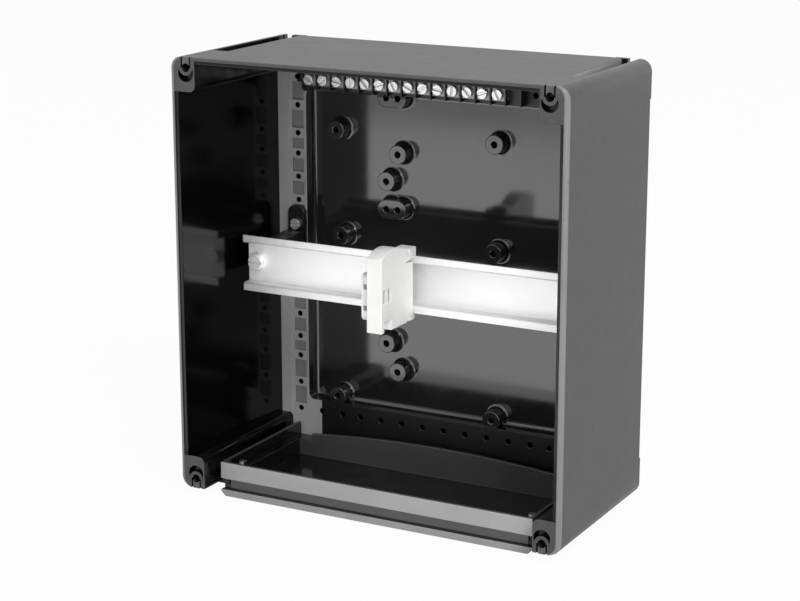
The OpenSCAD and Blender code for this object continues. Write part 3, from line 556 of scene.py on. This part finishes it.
class Softened:
    """Makes the shown piece of a CAD node: its own form with joined flats and rounded edges.

    Attributes:
        SHARP: Bend from which an edge is rounded.
        TURN: Bend from which a face counts as part of a curve.
        FACET: Most edges that such a face has.
        NARROW: Attribute with the weights of the common roundings.
        WIDE: Attribute with the weights of the larger roundings.
        WIDE_FINISH: Number of the larger roundings' finish on the piece.
        MERGE: Distance at which vertices become one.
        PLANE: Distance from a flat's plane that still counts as flat.
        SLIVER: Height of a triangle whose normal is not trusted.
        SNAP: Distance at which a cut takes a vertex with it.
        PARALLEL: Cosine from which two normals are parallel.
        STRAIGHT: Cosine from which two edges lie on one line.
        UPRIGHT: Part of a normal that points up from which a flat counts as lying.
        HOLED: Fewest triangles of a flat that is searched for holes.
        HOLLOW_SHARE: Share of the rounding in hollow edges.
        ROOM_SHARE: Share of a face's width that a rounding may take.
    """

    SHARP = math.radians(32.0)
    TURN = math.radians(0.3)
    FACET = 4
    NARROW = "bevel_weight_edge"
    WIDE = "rim_weight_edge"
    WIDE_FINISH = 1
    MERGE = 0.002 * MM
    PLANE = 0.004 * MM
    SLIVER = 0.01 * MM
    SNAP = 0.02 * MM
    PARALLEL = 0.99998
    STRAIGHT = 0.99999
    UPRIGHT = 0.7
    HOLED = 3
    HOLLOW_SHARE = 0.4
    ROOM_SHARE = 0.42

    @classmethod
    def piece(
        cls, node: str, width: float, finish: Finish, slot: Slot, segments: int = 2,
        plain: Callable[[Vector], bool] = lambda place: False, wide: WideEdges | None = None, turn: float = 0.0,
    ) -> bpy.types.Object:
        """Builds the piece and lets it stand for the node.

        Args:
            node: Name of the CAD node.
            width: Width of the rounded edges in metres.
            finish: Finish of the piece.
            slot: Its material slot in the record; not used.
            segments: Faces across a rounded edge.
            plain: Says from an edge's middle whether it stays sharp.
            wide: The edges with a larger rounding, if there are any.
            turn: Angle by which a screw is turned about its axis, which runs from front to back.

        Returns:
            The new piece.
        """
        source = frame["nodes"][node]
        form = bmesh.new()
        form.from_mesh(source.data)
        bmesh.ops.remove_doubles(form, verts=form.verts, dist=cls.MERGE)
        bmesh.ops.dissolve_degenerate(form, edges=form.edges, dist=cls.MERGE)
        cls.flatten(form)
        cls.weigh(form, width, plain, wide)
        low, high = (Vector(corner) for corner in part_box(node))
        bmesh.ops.rotate(form, cent=(low + high) / 2, matrix=Matrix.Rotation(turn, 3, "Y"), verts=form.verts)
        mesh = bpy.data.meshes.new(f"{node}_shape")
        form.to_mesh(mesh)
        form.free()
        mesh.materials.append(finish.material())
        shape = bpy.data.objects.new(f"{node}_shape", mesh)
        bpy.context.scene.collection.objects.link(shape)
        if wide:
            mesh.materials.append(wide.finish.material())
            cls.rounding(shape, wide.width, wide.segments, cls.WIDE).material = cls.WIDE_FINISH
        cls.rounding(shape, width, segments, cls.NARROW)
        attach(shape, source["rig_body"])
        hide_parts(node)
        LOG.info("softened %s by %.2f mm", node, width / MM)
        return shape

    @staticmethod
    def rounding(shape: bpy.types.Object, width: float, segments: int, weights: str) -> bpy.types.BevelModifier:
        """Rounds the weighted edges of a piece.

        Args:
            shape: The piece.
            width: Width of the rounding in metres.
            segments: Faces across a rounded edge.
            weights: Attribute with the weights of the edges.

        Returns:
            The modifier.
        """
        bevel = shape.modifiers.new("rounded edges", "BEVEL")
        bevel.width = width
        bevel.segments = segments
        bevel.limit_method = "WEIGHT"
        bevel.edge_weight = weights
        bevel.use_clamp_overlap = False
        return bevel

    @staticmethod
    def flood(
        faces: list[bmesh.types.BMFace],
        joins: Callable[[bmesh.types.BMFace, bmesh.types.BMEdge, bmesh.types.BMFace], bool],
    ) -> list[list[bmesh.types.BMFace]]:
        """Groups the faces that hang together.

        Args:
            faces: The faces to group.
            joins: Says for a group's first face, an edge and the face beyond it whether that face joins.

        Returns:
            The groups.
        """
        left = set(faces)
        groups = []
        for seed in faces:
            if seed not in left:
                continue
            left.discard(seed)
            group, queue = [], [seed]
            while queue:
                face = queue.pop()
                group.append(face)
                for edge in face.edges:
                    for other in edge.link_faces:
                        if other in left and joins(seed, edge, other):
                            left.discard(other)
                            queue.append(other)
            groups.append(group)
        return groups

    @classmethod
    def coplanar(cls, seed: bmesh.types.BMFace, edge: bmesh.types.BMEdge, other: bmesh.types.BMFace) -> bool:
        """Tells whether a face lies in the plane of the first face of its group; see flood."""
        start = seed.verts[0].co
        if any(abs(seed.normal.dot(vert.co - start)) > cls.PLANE for vert in other.verts):
            return False
        longest = max(side.calc_length() for side in other.edges)
        return seed.normal.dot(other.normal) > cls.PARALLEL or other.calc_area() < cls.SLIVER * longest

    @staticmethod
    def hole_middles(faces: list[bmesh.types.BMFace]) -> list[Vector]:
        """Finds the holes in a flat.

        Args:
            faces: Faces of the flat.

        Returns:
            The middle of each hole.
        """
        inside = set(faces)
        left = {edge for face in faces for edge in face.edges if sum(f in inside for f in edge.link_faces) == 1}
        boxes = []
        while left:
            queue, verts = [left.pop()], set()
            while queue:
                edge = queue.pop()
                for vert in edge.verts:
                    verts.add(vert)
                    beside = [other for other in vert.link_edges if other in left]
                    left.difference_update(beside)
                    queue.extend(beside)
            low = Vector([min(vert.co[i] for vert in verts) for i in range(3)])
            high = Vector([max(vert.co[i] for vert in verts) for i in range(3)])
            boxes.append(((high - low).length, (low + high) / 2))
        boxes.sort(key=lambda box: -box[0])
        return [middle for _, middle in boxes[1:]]

    @classmethod
    def cut_through(
        cls, form: bmesh.types.BMesh, flat: list[bmesh.types.BMFace], middles: list[Vector], across: Vector,
        kept: bmesh.types.BMLayerItem,
    ) -> list[bmesh.types.BMFace]:
        """Cuts a flat along a line through each of its holes.

        Args:
            form: The form.
            flat: Faces of the flat.
            middles: Middles of its holes.
            across: Direction across the lines.
            kept: Layer that marks the edges of the cuts.

        Returns:
            The faces of the flat after the cuts.
        """
        done: list[float] = []
        for middle in middles:
            level = middle.dot(across)
            if any(abs(level - other) < cls.SNAP for other in done):
                continue
            done.append(level)
            parts = {*flat, *(e for f in flat for e in f.edges), *(v for f in flat for v in f.verts)}
            cut = bmesh.ops.bisect_plane(form, geom=list(parts), dist=cls.SNAP, plane_co=middle, plane_no=across)
            for item in cut["geom_cut"]:
                if isinstance(item, bmesh.types.BMEdge):
                    item[kept] = 1
            flat = [item for item in cut["geom"] if isinstance(item, bmesh.types.BMFace)]
        return flat

    @classmethod
    def flatten(cls, form: bmesh.types.BMesh) -> None:
        """Joins the triangles of each flat, which is first cut through its holes."""
        form.normal_update()
        kept = form.edges.layers.int.new("kept")
        inner: set[bmesh.types.BMEdge] = set()
        by_size = sorted(form.faces, key=lambda face: -face.calc_area())
        for flat in cls.flood(by_size, cls.coplanar):
            if len(flat) == 1:
                continue
            normal = flat[0].normal.copy()
            across = Vector((0.0, 0.0, 1.0)) if abs(normal.z) < cls.UPRIGHT else Vector((0.0, 1.0, 0.0))
            across = (across - normal * across.dot(normal)).normalized()
            middles = cls.hole_middles(flat) if len(flat) >= cls.HOLED else []
            flat = cls.cut_through(form, flat, middles, across, kept)
            flat = cls.cut_through(form, flat, middles, across.cross(normal), kept)
            for part in cls.flood(flat, lambda seed, edge, other: not edge[kept]):
                inside = set(part)
                inner.update(
                    edge for face in part for edge in face.edges
                    if not edge[kept] and sum(other in inside for other in edge.link_faces) == 2)
        bmesh.ops.dissolve_edges(form, edges=list(inner), use_verts=False, use_face_split=False)
        form.edges.layers.int.remove(kept)
        bmesh.ops.dissolve_verts(form, verts=[vert for vert in form.verts if cls.on_straight(vert)])

    @classmethod
    def on_straight(cls, vert: bmesh.types.BMVert) -> bool:
        """Tells whether a vertex does no more than divide a straight edge."""
        if len(vert.link_edges) != 2:
            return False
        one, two = ((edge.other_vert(vert).co - vert.co).normalized() for edge in vert.link_edges)
        return one.dot(two) < -cls.STRAIGHT

    @classmethod
    def weigh(
        cls, form: bmesh.types.BMesh, width: float, plain: Callable[[Vector], bool], wide: WideEdges | None,
    ) -> None:
        """Shades the curved faces smoothly, and gives every sharp edge its share of the rounding.

        Args:
            form: The form.
            width: Full width of the rounded edges in metres.
            plain: Says from an edge's middle whether it stays sharp.
            wide: The edges with a larger rounding, if there are any.
        """
        form.normal_update()
        weight = form.edges.layers.float.new(cls.NARROW)
        broad = form.edges.layers.float.new(cls.WIDE)
        for face in form.faces:
            bends = [edge.calc_face_angle(0.0) for edge in face.edges]
            face.smooth = len(bends) <= cls.FACET and any(cls.TURN < bend < cls.SHARP for bend in bends)
        for edge in form.edges:
            if len(edge.link_faces) != 2 or edge.calc_face_angle(0.0) < cls.SHARP:
                continue
            start = edge.verts[0].co
            middle = (start + edge.verts[1].co) / 2
            edge[broad] = wide.share(middle) if wide else 0.0
            if edge[broad]:
                continue
            if plain(middle):
                edge.smooth = False
                continue
            along = (edge.verts[1].co - start).normalized()
            room = min(
                max((vert.co - start).cross(along).length for vert in face.verts) for face in edge.link_faces)
            edge[weight] = min(1.0 if edge.is_convex else cls.HOLLOW_SHARE, cls.ROOM_SHARE * room / width)

    @staticmethod
    def skin(shape: bpy.types.Object, finish: Finish, test: Test) -> None:
        """Gives some faces of a piece another finish.

        Args:
            shape: The piece.
            finish: The other finish.
            test: Says from a face's centre and normal whether it takes that finish.
        """
        mesh = shape.data
        index = len(mesh.materials)
        mesh.materials.append(finish.material())
        for face in mesh.polygons:
            if test(face.center, face.normal):
                face.material_index = index


@dataclass
class Enclosure:
    """The moulded enclosure: textured outside, polished inside with painted shade, matt on its ledges with painted
    light, painted shade on the bottom and top ledges, a painted highlight on the rim.

    Attributes:
        edge: Width of the common roundings, in metres like all lengths here.
        half_width: Half of the outer width.
        base: Height of the lower end.
        top: Height of the upper end.
        front: Place of the front rim.
        back: Place of the back's skin.
        corner: Radius of the outline's corners.
        ledge: Place of the ledges.
        ledge_depth: Depth within which a face belongs to a ledge.
        skin: Distance within which a face lies on a surface.
        panel: Half width and half height of the sunk panel.
        low_ledge: Left end of the painted shade on the bottom ledge.
        top_ledge: Half length of the painted shade on the top ledge.
        slits: Sides of a corner column's slits.
        sickle: Sides of its sickle.
        sickle_end: Ends of the sickle, from the box's end.
        slot_side: Sides of a slot in the top.
        core_depth: Depth of the slits and sickles.
        core_floor: Place of the floor of a column's core.
        ledge_end: Where a ledge runs out beside a column, from the box's end.
        rim: Width of the rim's rounding.
        rim_segments: Faces across the rim's rounding.
        rim_end: Share of the rounding below which the rim has none.
    """

    edge: float = 0.45 * MM
    half_width: float = 127.5 * MM
    base: float = 6.5 * MM
    top: float = 272.5 * MM
    front: float = -60.0 * MM
    back: float = 58.5 * MM
    corner: float = 7.0 * MM
    ledge: float = 46.0 * MM
    ledge_depth: float = 1.5 * MM
    skin: float = 0.4 * MM
    panel: tuple[float, float] = (98.2 * MM, 101.7 * MM)
    low_ledge: float = -90.0 * MM
    top_ledge: float = 98.0 * MM
    slits: tuple[float, float] = (112.6 * MM, 120.2 * MM)
    sickle: tuple[float, float] = (110.8 * MM, 122.0 * MM)
    sickle_end: tuple[float, float] = (3.5 * MM, 15.0 * MM)
    slot_side: tuple[float, float] = (107.5 * MM, 109.7 * MM)
    core_depth: float = 4.5 * MM
    core_floor: float = 56.0 * MM
    ledge_end: float = 21.5 * MM
    rim: float = 2.6 * MM
    rim_segments: int = 6
    rim_end: float = 0.12

    def build(self) -> None:
        """Makes the enclosure's piece and its skins."""
        # The rim rounding's paler colour is a painted highlight.
        rim = WideEdges(self.rim, self.rim_segments, RIM_HIGHLIGHT_PLASTIC, self.rim_share)
        # The inside walls' near-black colour is painted shade.
        shape = Softened.piece("enclosure", self.edge, WALL_SHADE_PLASTIC, Slot.BOX, plain=self.stays_sharp, wide=rim)
        Softened.skin(shape, PANEL_PLASTIC, self.in_panel)
        # The ledges' lighter colour is painted light.
        Softened.skin(shape, LEDGE_LIT_PLASTIC, self.on_ledge)
        Softened.skin(shape, RECESS_PLASTIC, self.in_recess)
        # Painted shade on the bottom ledge and on the top ledge's middle.
        Softened.skin(shape, LEDGE_SHADE_PLASTIC, self.in_painted_ledge_shade)
        Softened.skin(shape, BOX_OUTSIDE, self.outside)

    def in_panel(self, centre: Vector, normal: Vector) -> bool:
        """Tells whether a face belongs to the sunk panel or to a boss on it."""
        high = abs(centre.z - (self.base + self.top) / 2)
        return centre.y > self.ledge - self.skin and abs(centre.x) < self.panel[0] and high < self.panel[1]

    def stays_sharp(self, place: Vector) -> bool:
        """Tells whether an edge has too little room for a rounding.

        Args:
            place: The edge's middle.

        Returns:
            Whether it lies at a slit or the sickle of a corner column, at a slot in the top, on the floor of a
            column's core or where a ledge runs out beside a column.
        """
        side, end = abs(place.x), min(self.top - place.z, place.z - self.base)
        if place.y < self.front + self.core_depth:
            slit = self.slits[0] < side < self.slits[1] and end < self.sickle_end[0]
            sickle = self.sickle[0] < side < self.sickle[1] and self.sickle_end[0] <= end < self.sickle_end[1]
            return slit or sickle
        slot = self.slot_side[0] < side < self.slot_side[1] and end < self.skin
        core = abs(place.y - self.core_floor) < self.skin and side > self.slot_side[0] and end < self.sickle_end[1]
        ledge_end = (
            abs(place.y - self.ledge) < self.skin and side > self.slot_side[1]
            and self.sickle_end[1] < end < self.ledge_end)
        return slot or core or ledge_end

    def on_ledge(self, centre: Vector, normal: Vector) -> bool:
        """Tells whether a face lies on a ledge."""
        return abs(centre.y - self.ledge) < self.ledge_depth and not self.in_panel(centre, normal)

    def in_recess(self, centre: Vector, normal: Vector) -> bool:
        """Tells whether a face is the floor of a recess in a ledge."""
        return centre.y > self.ledge + self.skin and self.on_ledge(centre, normal)

    def in_painted_ledge_shade(self, centre: Vector, normal: Vector) -> bool:
        """Tells whether a face lies where the bottom or the top ledge takes painted shade."""
        high = centre.z - (self.base + self.top) / 2
        below = high < -self.panel[1] and centre.x > self.low_ledge
        above = high > self.panel[1] and abs(centre.x) < self.top_ledge
        return (below or above) and self.on_ledge(centre, normal)

    def outside(self, centre: Vector, normal: Vector) -> bool:
        """Tells whether a face belongs to the outer skin or the front rim."""
        end = centre.y < self.front + self.skin or centre.y > self.back - self.skin
        return end or self.reach(centre)[0] > self.corner - self.skin

    def reach(self, place: Vector) -> tuple[float, float]:
        """Measures a place against the outline with its rounded corners.

        Args:
            place: The place.

        Returns:
            Its distance out from the corner's centre line, and how far it lies on a side rather than on top.
        """
        over_x = abs(place.x) - (self.half_width - self.corner)
        over_z = abs(place.z - (self.base + self.top) / 2) - ((self.top - self.base) / 2 - self.corner)
        far = math.hypot(max(over_x, 0.0), max(over_z, 0.0))
        sideways = max(over_x, 0.0) / far if far else 0.0
        return far + min(max(over_x, over_z), 0.0), sideways

    def rim_share(self, place: Vector) -> float:
        """Gives the share of the rim's rounding, which fades out round the corners."""
        far, sideways = self.reach(place)
        at_rim = abs(place.y - self.front) < self.skin and far > self.corner - self.skin
        return sideways if at_rim and sideways > self.rim_end else 0.0


@dataclass
class CableFlange:
    """The slide-in flange and its gasket.

    Attributes:
        edge: Width of the tray's roundings.
        gasket_edge: Width of the gasket's roundings.
        front_zone: Rear end of the front's faces.
        lip_top: Height of the lip.
        neck_top: Height of the neck.
        top_edge: Height from which a lying face is a top edge.
        rear_wall: Front end of the rear wall's faces.
        facing: Part of a normal from which a face looks that way.
    """

    edge: float = 0.5 * MM
    gasket_edge: float = 0.25 * MM
    front_zone: float = -36.0 * MM
    lip_top: float = 4.6 * MM
    neck_top: float = 11.2 * MM
    top_edge: float = 15.8 * MM
    rear_wall: float = 30.0 * MM
    facing: float = 0.7

    def build(self) -> None:
        """Makes the flange's two pieces."""
        tray = Softened.piece("flange_tray", self.edge, TRAY_PLASTIC, Slot.BOX)
        # Painted light on the rear wall's front, painted highlight on the wall tops.
        Softened.skin(tray, TRAY_LIT_PLASTIC, self.on_rear_wall)
        # Painted light on the upper band and the lip, painted shade on the neck.
        for finish, band in ((FLANGE_LIT_PLASTIC, Band.WALL), (NECK_SHADE_PLASTIC, Band.NECK), (LIP_LIT_PLASTIC, Band.LIP)):
            Softened.skin(tray, finish, self.in_band(band))
        Softened.piece("flange_gasket", self.gasket_edge, GASKET_RUBBER, Slot.GASKET)

    def on_rear_wall(self, centre: Vector, normal: Vector) -> bool:
        """Tells whether a face takes painted light as the front of the rear wall or a painted highlight as a top
        edge.
        """
        wall = normal.y < -self.facing and centre.y > self.rear_wall
        return wall or (normal.z > self.facing and centre.z > self.top_edge)

    def in_band(self, band: Band) -> Test:
        """Makes the test for the faces that look out of the front in one band.

        Args:
            band: The band.

        Returns:
            The test.
        """
        low, high = {
            Band.LIP: (-math.inf, self.lip_top),
            Band.NECK: (self.lip_top, self.neck_top),
            Band.WALL: (self.neck_top, math.inf),
        }[band]
        return lambda centre, normal: (
            normal.y < -self.facing and centre.y < self.front_zone and low < centre.z <= high)


@dataclass
class RailMount:
    """The hat rail with its brackets and fasteners."""

    sheet_edge: float = 0.12 * MM
    bracket_edge: float = 0.4 * MM
    screw_edge: float = 0.25 * MM

    def build(self) -> None:
        """Makes the rail, its brackets, screws and washers."""
        Softened.piece("din_rail", self.sheet_edge, RAIL_STEEL, Slot.RAIL)
        for side in ("left", "right"):
            Softened.piece(f"rail_bracket_{side}", self.bracket_edge, BRACKET_PLASTIC, Slot.BOX)
        for node in ("bracket_screws", "rail_screws", "rail_washers"):
            Softened.piece(node, self.screw_edge, HEAD_STEEL, Slot.PLATED)


@dataclass
class EarthRow:
    """The earth bar in its carrier, with its saddles and screws."""

    count: int = 14
    carrier_edge: float = 0.2 * MM
    bar_edge: float = 0.25 * MM
    saddle_edge: float = 0.25 * MM
    screw_edge: float = 0.35 * MM
    turns: tuple[float, ...] = (64.0, 25.0, 140.0, 8.0, 95.0, 48.0, 160.0)

    def build(self) -> None:
        """Makes the carrier, the bar and every clamp."""
        Softened.piece("earth_carrier", self.carrier_edge, CARRIER_PLASTIC, Slot.CARRIER)
        Softened.piece("earth_bar", self.bar_edge, BAR_BRASS, Slot.BRASS)
        for number in range(1, self.count + 1):
            # The saddles' darker steel is painted shade round the heads.
            Softened.piece(f"earth_saddle_{number:02d}", self.saddle_edge, SADDLE_SHADE_STEEL, Slot.PLATED)
            turn = math.radians(self.turns[number % len(self.turns)])
            Softened.piece(f"earth_screw_{number:02d}", self.screw_edge, HEAD_STEEL, Slot.PLATED, turn=turn)


@dataclass
class RailTerminal:
    """The rail terminal with its clamps."""

    housing_edge: float = 0.2 * MM
    metal_edge: float = 0.1 * MM

    def build(self) -> None:
        """Makes the housing, its cover, the current bar and the clamps."""
        for node in ("terminal_housing", "terminal_cover"):
            Softened.piece(node, self.housing_edge, TERMINAL_PLASTIC, Slot.TERMINAL)
        Softened.piece("current_bar", self.metal_edge, BAR_BRASS, Slot.BRASS)
        for side in ("upper", "lower"):
            Softened.piece(f"clamp_cage_{side}", self.metal_edge, PLATED_STEEL, Slot.PLATED)
            Softened.piece(f"clamp_screw_{side}", self.metal_edge, PLATED_STEEL, Slot.PLATED)


@dataclass
class EndStop:
    """The end bracket beside the terminal.

    Attributes:
        edge: Width of the roundings.
        window: Least and greatest depth of a window's floor.
        facing: Part of a normal from which a face looks that way.
    """

    edge: float = 0.4 * MM
    window: tuple[float, float] = (1.2 * MM, 1.6 * MM)
    facing: float = 0.7

    def build(self) -> None:
        """Makes the end bracket's piece and shades its windows."""
        shape = Softened.piece("end_bracket", self.edge, TERMINAL_PLASTIC, Slot.TERMINAL)
        Softened.skin(shape, WINDOW_PLASTIC, self.in_window)

    def in_window(self, centre: Vector, normal: Vector) -> bool:
        """Tells whether a face is the floor of a side window."""
        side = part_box("end_bracket")[1][0] - centre.x
        return normal.x > self.facing and self.window[0] < side < self.window[1]


@dataclass
class PhotoCamera:
    """Camera at the photograph's viewing angle, from a fit to the box's corners.

    Attributes:
        azimuth: Angle of the view from the front.
        elevation: Angle of the view above level.
        distance: Distance from the box's centre in metres.
        right: How far the box stands to the right of the view's middle.
        down: How far it stands below that middle.
        lens: Focal length in millimetres.
        sensor: Width of the sensor in millimetres.
        near: Where the view starts, in metres.
    """

    azimuth: float = math.radians(28.2)
    elevation: float = math.radians(14.6)
    distance: float = 1238.0 * MM
    right: float = 5.6 * MM
    down: float = -12.7 * MM
    lens: float = 93.06
    sensor: float = 36.0
    near: float = 0.01

    def build(self) -> None:
        """Makes the camera and sets it as the scene's camera."""
        low, high = (Vector(corner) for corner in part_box("enclosure"))
        centre = (low + high) / 2
        across = Vector((math.cos(self.azimuth), math.sin(self.azimuth), 0.0))
        back = Vector((
            math.sin(self.azimuth) * math.cos(self.elevation),
            -math.cos(self.azimuth) * math.cos(self.elevation),
            math.sin(self.elevation),
        ))
        up = back.cross(across)
        place = centre - self.right * across + self.down * up + self.distance * back
        data = bpy.data.cameras.new("photo_camera")
        data.lens = self.lens
        data.sensor_width = self.sensor
        data.sensor_fit = "HORIZONTAL"
        data.clip_start = self.near
        camera = bpy.data.objects.new("photo_camera", data)
        bpy.context.scene.collection.objects.link(camera)
        turn = Matrix((across, up, back)).transposed()
        camera.matrix_world = Matrix.Translation(place) @ turn.to_4x4()
        bpy.context.scene.camera = camera
        LOG.info("camera stands at %s", [round(c, 3) for c in place])


@dataclass(frozen=True)
class SoftLamp:
    """A soft square lamp.

    Attributes:
        name: Name of the lamp.
        place: Where it stands, in metres.
        target: The point it looks at.
        size: Side of the lamp in metres.
        power: Power in watts.
        mirrored: Whether it shows in mirroring surfaces alone.
    """

    name: str
    place: Place
    target: Place
    size: float
    power: float
    mirrored: bool = False

    def build(self) -> None:
        """Makes the lamp."""
        data = bpy.data.lights.new(self.name, "AREA")
        data.size = self.size
        data.energy = self.power
        lamp = bpy.data.objects.new(self.name, data)
        bpy.context.scene.collection.objects.link(lamp)
        lamp.location = self.place
        lamp.rotation_euler = (Vector(self.target) - Vector(self.place)).to_track_quat("-Z", "Y").to_euler()
        lamp.visible_diffuse = not self.mirrored


@dataclass
class Studio:
    """White floor, white surroundings and soft lamps.

    Attributes:
        floor_half: Half of the floor's side in metres.
        floor_colour: Colour of the floor.
        floor_share: Share of plain white in the floor where it is seen.
        world_strength: Strength of the surroundings where they only give light.
        lamps: The lamps.
    """

    floor_half: float = 6.0
    floor_colour: Colour = grey(0.8)
    floor_share: float = 0.95
    world_strength: float = 0.5
    lamps: tuple[SoftLamp, ...] = (
        SoftLamp("front_softbox", (0.1, -1.7, 0.3), (0.0, 0.0, 0.13), 1.0, 3.0),
        SoftLamp("low_card", (-0.42, -0.6, 0.006), (-0.42, -0.6, 0.6), 0.96, 2.6, mirrored=True),
        SoftLamp("right_card", (0.9, -0.46, 0.006), (0.9, -0.46, 0.6), 0.6, 4.0, mirrored=True),
        SoftLamp("top_softbox", (0.3, 0.6, 1.9), (0.0, 0.0, 0.2), 1.4, 5.0),
        SoftLamp("right_softbox", (0.95, -0.75, 1.05), (0.0, -0.02, 0.15), 0.7, 16.0),
    )

    def build(self) -> None:
        """Makes the floor, the world and the lamps."""
        self.floor()
        self.world()
        for lamp in self.lamps:
            lamp.build()

    @staticmethod
    def seen(graph: Graph) -> Socket:
        """Gives 1 for camera, mirror and glass rays, and 0 for all others."""
        path = graph.add("ShaderNodeLightPath").outputs
        straight = graph.math("MAXIMUM", path["Is Camera Ray"], path["Is Glossy Ray"])
        return graph.math("MAXIMUM", straight, path["Is Transmission Ray"])

    def floor(self) -> None:
        """Makes the pale floor, which keeps the object's shadow."""
        half = self.floor_half
        mesh = bpy.data.meshes.new("floor")
        corners = [(-half, -half, 0.0), (half, -half, 0.0), (half, half, 0.0), (-half, half, 0.0)]
        mesh.from_pydata(corners, [], [(0, 1, 2, 3)])
        floor = bpy.data.objects.new("floor", mesh)
        bpy.context.scene.collection.objects.link(floor)
        material = bpy.data.materials.new("floor")
        material.use_nodes = True
        graph = Graph(material.node_tree)
        paint = graph.add("ShaderNodeBsdfDiffuse", {"Color": (*self.floor_colour, 1.0)})
        glow = graph.add("ShaderNodeEmission", {"Color": WHITE, "Strength": 1.0})
        share = graph.math("MULTIPLY", self.seen(graph), self.floor_share)
        both = graph.add("ShaderNodeMixShader", {0: share, 1: paint.outputs[0], 2: glow.outputs[0]})
        graph.add("ShaderNodeOutputMaterial", {"Surface": both.outputs[0]})
        mesh.materials.append(material)

    def world(self) -> None:
        """Makes the white surroundings."""
        world = bpy.data.worlds.new("studio")
        world.use_nodes = True
        graph = Graph(world.node_tree)
        strength = graph.ramp(self.seen(graph), 0.0, 1.0, self.world_strength, 1.0)
        light = graph.add("ShaderNodeBackground", {"Color": WHITE, "Strength": strength})
        graph.add("ShaderNodeOutputWorld", {"Surface": light.outputs[0]})
        bpy.context.scene.world = world


def main() -> None:
    """Builds the stage, the camera and every sub-assembly in order."""
    logging.basicConfig(level=logging.INFO, format="%(name)s: %(message)s")
    bpy.context.scene.view_settings.view_transform = "Standard"
    stage = (PhotoCamera(), Studio())
    parts = (Enclosure(), CableFlange(), RailMount(), EarthRow(), RailTerminal(), EndStop())
    for unit in (*stage, *parts):
        unit.build()
        LOG.info("built %s", type(unit).__name__)


if __name__ == "__main__":
    main()
